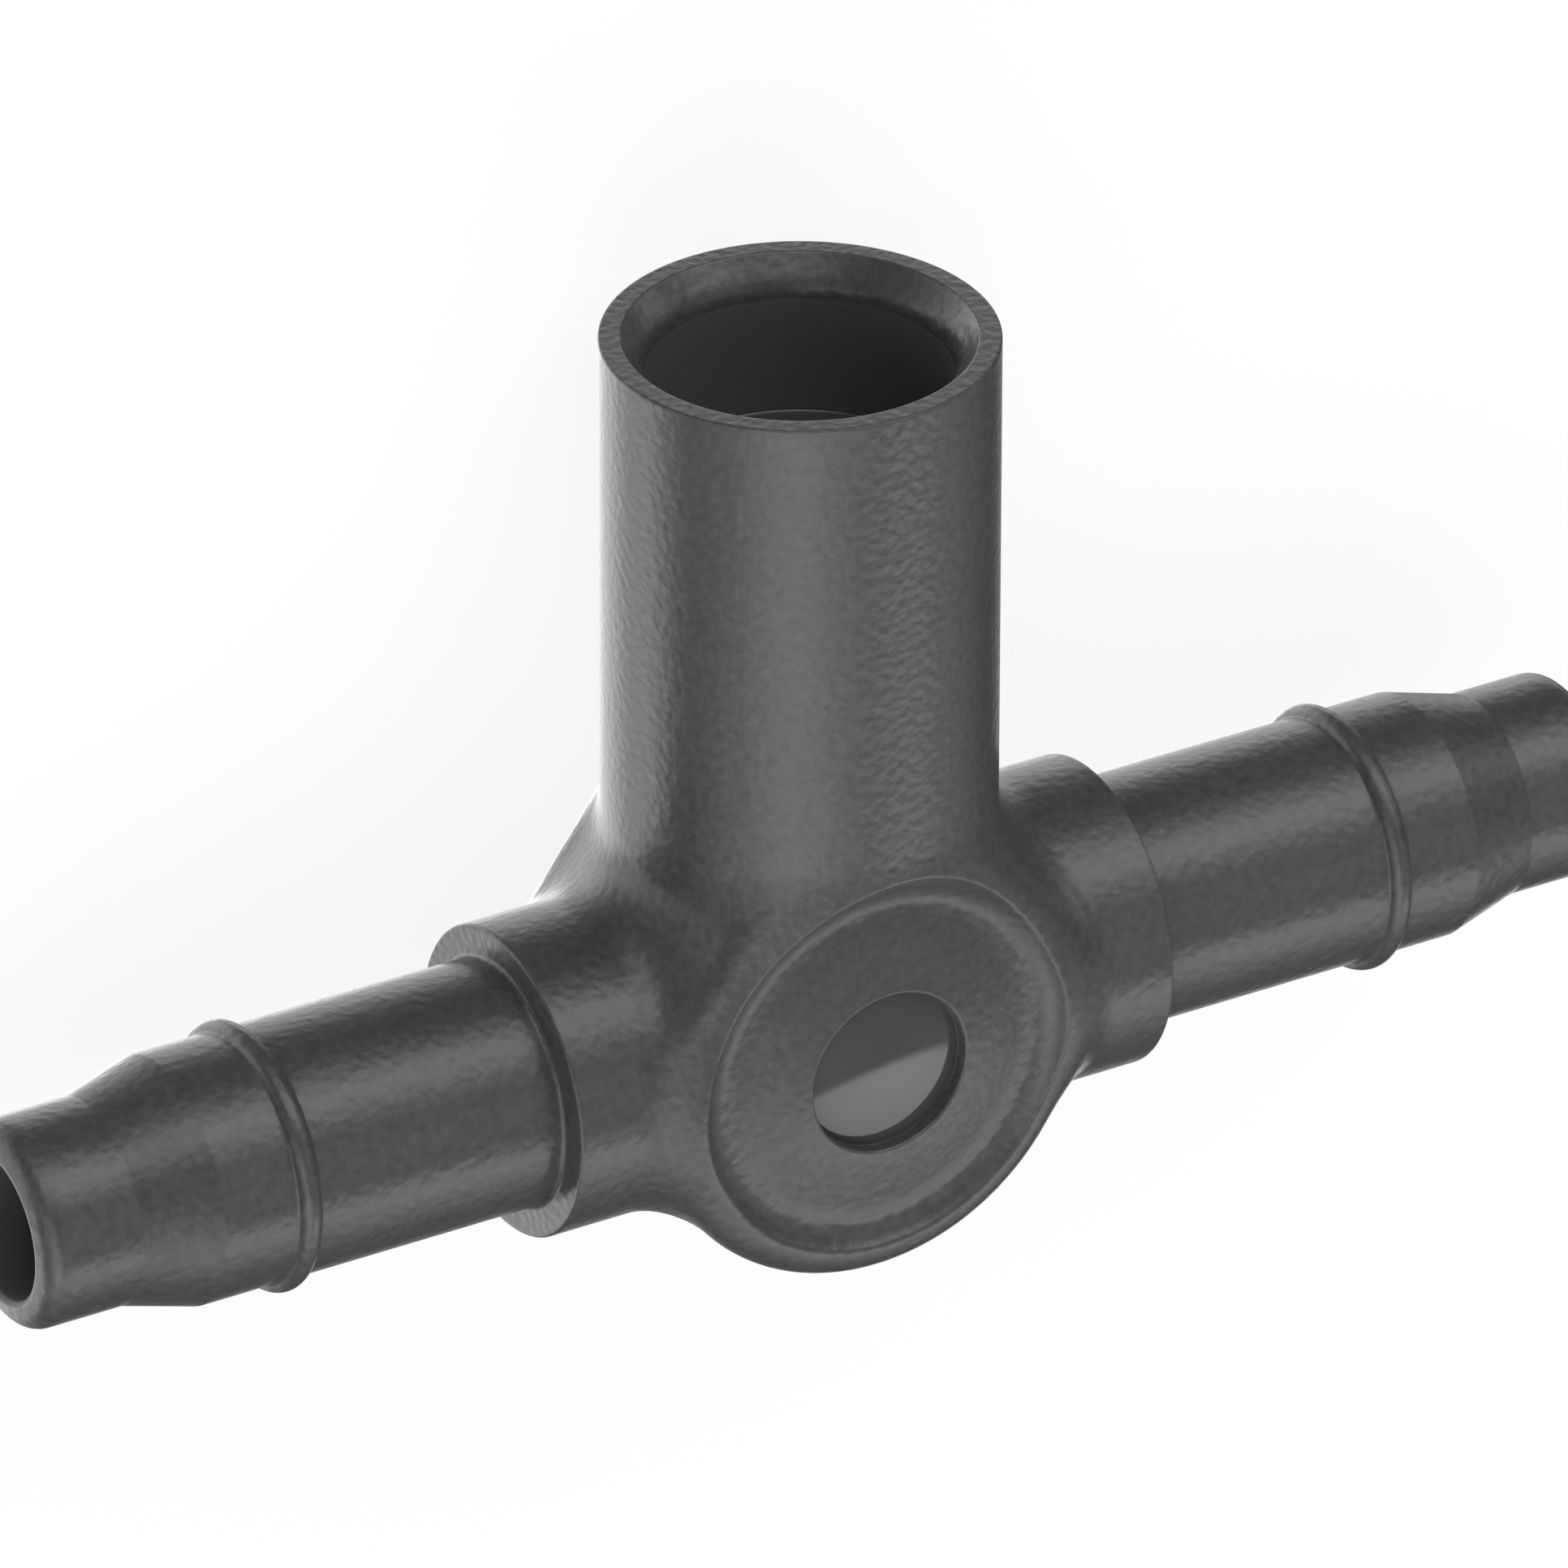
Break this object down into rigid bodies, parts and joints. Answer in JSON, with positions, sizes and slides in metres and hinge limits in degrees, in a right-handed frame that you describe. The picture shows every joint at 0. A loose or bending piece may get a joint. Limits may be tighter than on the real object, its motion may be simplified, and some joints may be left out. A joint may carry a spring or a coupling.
{
  "type": "drip line tee",
  "caption": "Moulded drip tubing tee: a straight run with a hose barb at either end, a branch with an open socket at right angles to it, and a round boss with dished faces at the crossing.",
  "frame": {"origin": "the point where the axes of the run, the branch and the boss cross, at the middle of the run's bore", "axes": "+X along the run, +Y along the branch towards its socket, and the boss's two faces look along -Z and +Z. The tee lies as it comes to rest, on the branch's rim and on the crest of the boss's lower face"},
  "size_m": [0.0332, 0.0181, 0.0072],
  "materials": {
    "moulded_plastic": "charcoal plastic with a fine even grain from the mould and a soft sheen"
  },
  "bodies": {
    "root": {"tee_body": "moulded_plastic"}
  },
  "joints": []
}
